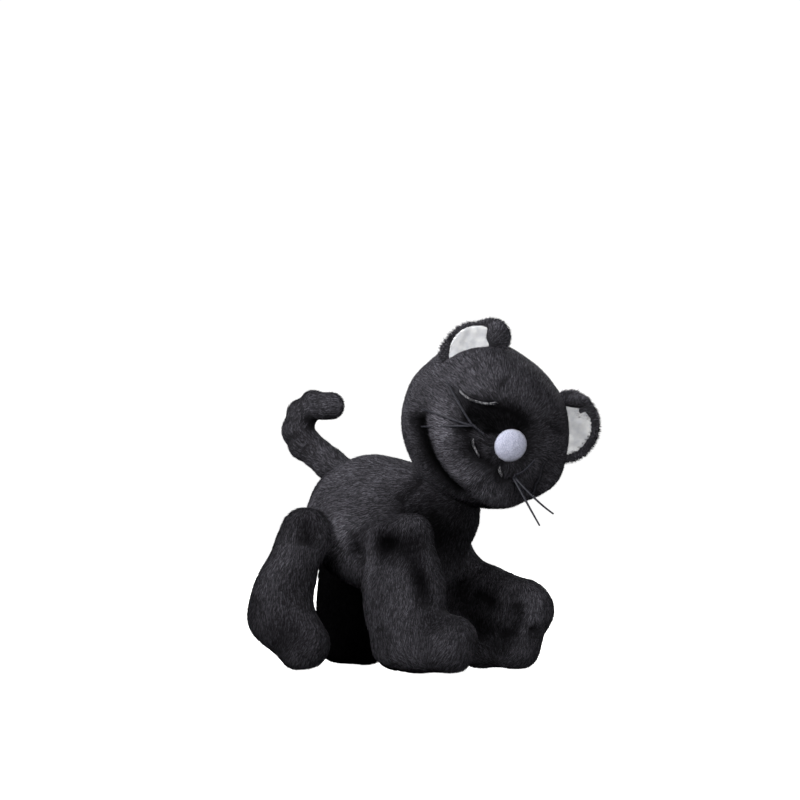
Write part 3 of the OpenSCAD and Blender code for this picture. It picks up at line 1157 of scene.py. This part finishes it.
def tube(path, radius, sides=8, taper=0.0):
    """A closed tube along the points, in mm."""
    path = np.asarray(path, float)
    tangent = unit(np.gradient(path, axis=0))
    helper = np.array([0.3, 0.5, 0.8])
    one = unit(np.cross(tangent, helper))
    two = np.cross(tangent, one)
    count = len(path)
    angle = np.linspace(0, 2 * math.pi, sides, endpoint=False)
    size = radius * (1 - taper * np.linspace(0, 1, count))
    ring = one[:, None] * np.cos(angle)[None, :, None] + two[:, None] * np.sin(angle)[None, :, None]
    verts = path[:, None] + ring * size[:, None, None]
    verts = np.concatenate([verts.reshape(-1, 3), path[:1], path[-1:]])
    faces = []
    for i in range(count - 1):
        for k in range(sides):
            a, b = i * sides + k, i * sides + (k + 1) % sides
            faces += [(a, b, b + sides), (a, b + sides, a + sides)]
    for k in range(sides):
        last = (count - 1) * sides
        faces.append((count * sides, (k + 1) % sides, k))
        faces.append((count * sides + 1, last + k, last + (k + 1) % sides))
    return verts, np.array(faces)


def merged(parts):
    verts, faces, start = [], [], 0
    for v, f in parts:
        verts.append(v)
        faces.append(f + start)
        start += len(v)
    return np.concatenate(verts), np.concatenate(faces)


def along_line(line, step):
    """Evenly spaced points and directions along a polyline."""
    line = np.asarray(line, float)
    lengths = np.linalg.norm(np.diff(line, axis=0), axis=1)
    total = np.concatenate([[0], np.cumsum(lengths)])
    at = np.arange(0, total[-1], step)
    points = np.stack([np.interp(at, total, line[:, k]) for k in range(3)], 1)
    for _ in range(3):
        points[1:-1] = (points[:-2] + 2 * points[1:-1] + points[2:]) / 4
    return points, unit(np.gradient(points, axis=0))


def on_fabric(points, out):
    """Points of the head's frame put on its folded fabric, that far out."""
    world = from_head(points)
    normal = unit(gradient(head_field, world))
    world = world - normal * head_field(world)[:, None]
    return world + normal * (head_folds(world) + out)[:, None], normal


def stitch_row(line, step=1.3, length=2.6, radius=0.34, out=1.5):
    """A row of slanting stitches of glossy thread, laid over one another like a cord."""
    points, direction = along_line(line, step)
    world, normal = on_fabric(points, out)
    along = direction @ HEAD.T
    side = np.cross(along, normal)
    parts = []
    for p, t, s, n in zip(world, along, side, normal):
        reach = unit(t * 0.8 + s * 0.6) * length / 2
        curve = [p + reach * k - n * (0.9 * k * k) for k in np.linspace(-1, 1, 7)]
        parts.append(tube(curve, radius, 6))
    return parts


def thread_piece(name, parts, node, look="painted_glint_stitch"):
    verts, faces = merged(parts)
    obj = mesh_object(name, verts, faces, None, (MATERIALS[look],))
    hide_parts(node)
    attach(obj, "head")


def make_stitches():
    # The right eye and the mouth are of the thread with painted glints
    thread_piece("eye_right_stitches", stitch_row(EYE_RIGHT), "eye_right")
    thread_piece("eye_left_stitches", stitch_row(EYE_LEFT), "eye_left", "thread")
    thread_piece("mouth_stitches", stitch_row(MOUTH_STITCHES) + stitch_row(MOUTH_SIDE_STITCHES), "mouth")


def whisker(base, tip, sag):
    """A curved thread from base to tip, given in the head's frame, with its root in the pile."""
    base, tip = np.asarray(base, float), np.asarray(tip, float)
    out = unit(base)
    points = []
    for t in np.linspace(0, 1, 20):
        points.append(base + (tip - base) * t + out * sag * 4 * t * (1 - t) - out * 3 * (1 - t) ** 6)
    return tube(from_head(np.array(points)), WHISKER_RADIUS, 8, WHISKER_TAPER)


WHISKER_TIPS_RIGHT = [(25.5, -53.8, 7.1), (20.2, -51.8, -17.5), (22.9, -45.5, -27.2)]
WHISKER_TIPS_LEFT = [(69.6, 45.2, -28.0), (70.3, 47.3, -16.2), (65.2, 14.5, 3.7)]


def make_whisker_group(side, place, tips, sags, knot):
    base = on_head(*place, 1.5)
    parts = []
    for i, (tip, sag) in enumerate(zip(tips, sags)):
        parts.append(whisker(base + np.array([0, 0, 0.9 * (i - 1)]), tip, sag))
    parts += stitch_row(head_line(*knot), 1.4, 2.2, 0.4, 2.2)
    thread_piece(f"whiskers_{side}_thread", parts, f"whiskers_{side}", "thread")


def make_whiskers():
    knot = ((-30, -5), (-21, -5))
    make_whisker_group("right", WHISKERS_RIGHT_AT, WHISKER_TIPS_RIGHT, (3.0, 5.0, 4.0), knot)
    knot = ((18, -14), (22, -17))
    make_whisker_group("left", WHISKERS_LEFT_AT, WHISKER_TIPS_LEFT, (4.0, 4.0, 1.0), knot)


def make_neck():
    """The collar of plush that hides the wad of stuffing in the neck."""
    middle = JOINTS["neck_nod"]

    def field(p):
        return ball(p, middle + np.array([3.0, 0, 4.0]), (20, 20, 19))

    def folds(p):
        return swell(p, SEED + 40, "collar")

    def flow(p):
        return np.tile(np.array([-0.3, 0.0, -1.0]), (len(p), 1))

    points, normals, tris = skin_mesh(field, folds, middle - 28, middle + 34, [])
    obj = plush_piece("neck_collar_plush", points, normals, tris, flow, collar_painted_shade, 701)
    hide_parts("neck_stuffing")
    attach(obj, "neck")


# ---------------------------------------------------------------- floor, light and camera


FLOOR_SIZE = 70
FLOOR_GLOW = 1.02
WORLD_WHITE = 1.05
LIGHT_AIM = np.array([0, 0, 0.11])

# Each light: place and size in metres, and power in watts
LIGHTS = {
    "key": ((-0.3, -1.6, 0.9), 1.0, 60.0),
    "top": ((-0.2, 0.0, 1.9), 1.0, 14.0),
    "fill": ((1.6, -1.4, 0.15), 1.0, 56.0),
    "back": ((-0.4, 1.9, 1.1), 1.4, 70.0),
}

# The camera, level and far off: degrees round from the right flank to the face, then metres
CAMERA_TURN = 30
CAMERA_DISTANCE = 4.0
CAMERA_LENS = 268.25
CAMERA_ACROSS = -0.0147
CAMERA_HEIGHT = 0.1816


def stage_piece(obj, color, glow):
    m, tree, shader = material(obj.name, color, 0.9, 0.1)
    shader.inputs["Emission Color"].default_value = (1, 1, 1, 1)
    shader.inputs["Emission Strength"].default_value = glow
    obj.data.materials.append(m)
    obj.visible_diffuse = False
    obj.visible_glossy = False


def make_floor():
    """A white floor that puts no light of its own on the cat."""
    bpy.ops.mesh.primitive_plane_add(size=FLOOR_SIZE)
    floor = bpy.context.object
    floor.name = "floor"
    stage_piece(floor, (0.8, 0.8, 0.8), FLOOR_GLOW)


def facing(direction):
    """The rotation that points a light or the camera that way."""
    return Vector(direction).to_track_quat("-Z", "Y").to_euler()


def area_light(name, place, size, power):
    data = bpy.data.lights.new(name, "AREA")
    data.size = size
    data.energy = power
    obj = bpy.data.objects.new(name, data)
    bpy.context.scene.collection.objects.link(obj)
    obj.location = place
    obj.rotation_euler = facing(LIGHT_AIM - np.array(place, float))


def make_light():
    world = bpy.data.worlds.new("studio")
    bpy.context.scene.world = world
    world.use_nodes = True
    background = world.node_tree.nodes["Background"]
    background.inputs["Color"].default_value = (1, 1, 1, 1)
    background.inputs["Strength"].default_value = WORLD_WHITE
    world.cycles_visibility.diffuse = False
    world.cycles_visibility.glossy = False
    for name, (place, size, power) in LIGHTS.items():
        area_light(name, place, size, power)
    bpy.context.scene.view_settings.view_transform = "Standard"
    bpy.context.scene.view_settings.look = "None"


def make_camera():
    data = bpy.data.cameras.new("camera")
    data.sensor_width = 36.0
    data.lens = CAMERA_LENS
    camera = bpy.data.objects.new("camera", data)
    bpy.context.scene.collection.objects.link(camera)
    turn = math.radians(CAMERA_TURN)
    across = np.array([math.cos(turn), math.sin(turn), 0])
    toward = np.array([math.sin(turn), -math.cos(turn), 0])
    target = across * CAMERA_ACROSS + np.array([0, 0, CAMERA_HEIGHT])
    camera.location = target + toward * CAMERA_DISTANCE
    camera.rotation_euler = facing(-toward)
    bpy.context.scene.camera = camera


make_torso()
make_neck()
make_head()
for leg in LEG_FIELDS:
    make_leg(leg)
make_tail()
for way in (-1, 1):
    make_ear(way)
make_nose()
make_stitches()
make_whiskers()
make_floor()
make_light()
make_camera()
